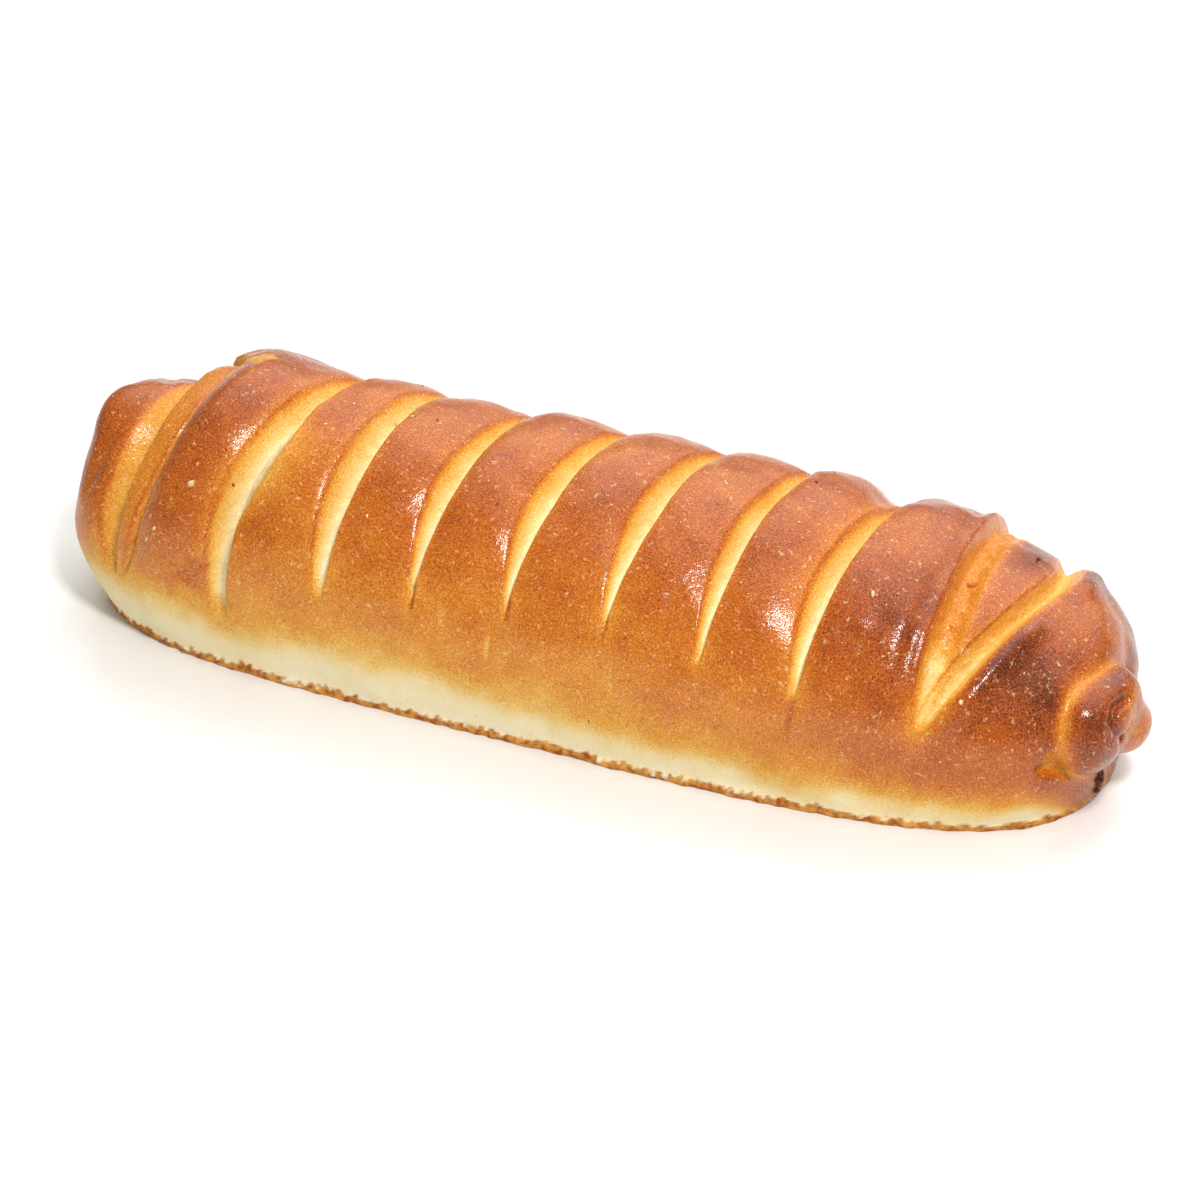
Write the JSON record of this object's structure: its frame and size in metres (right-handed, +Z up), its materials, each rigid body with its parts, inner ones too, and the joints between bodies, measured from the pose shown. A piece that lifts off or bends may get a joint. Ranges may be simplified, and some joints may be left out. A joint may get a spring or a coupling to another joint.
{
  "type": "sausage roll",
  "caption": "Long slashed bread roll baked round a hidden sausage: rounded crown, pale cuts across it, forked cuts near the ends, curled knob at one end, flat base.",
  "frame": {"origin": "on the flat base, at the middle of the roll's plain body, under its axis", "axes": "+X along the roll towards the knob, +Z up, -Y towards the front shown in the picture"},
  "size_m": [0.236, 0.076, 0.055],
  "materials": {
    "crust": "glazed golden-brown bread crust, cream in the cuts and low on the sides"
  },
  "bodies": {
    "root": {"sausage_roll": "crust"}
  },
  "joints": []
}
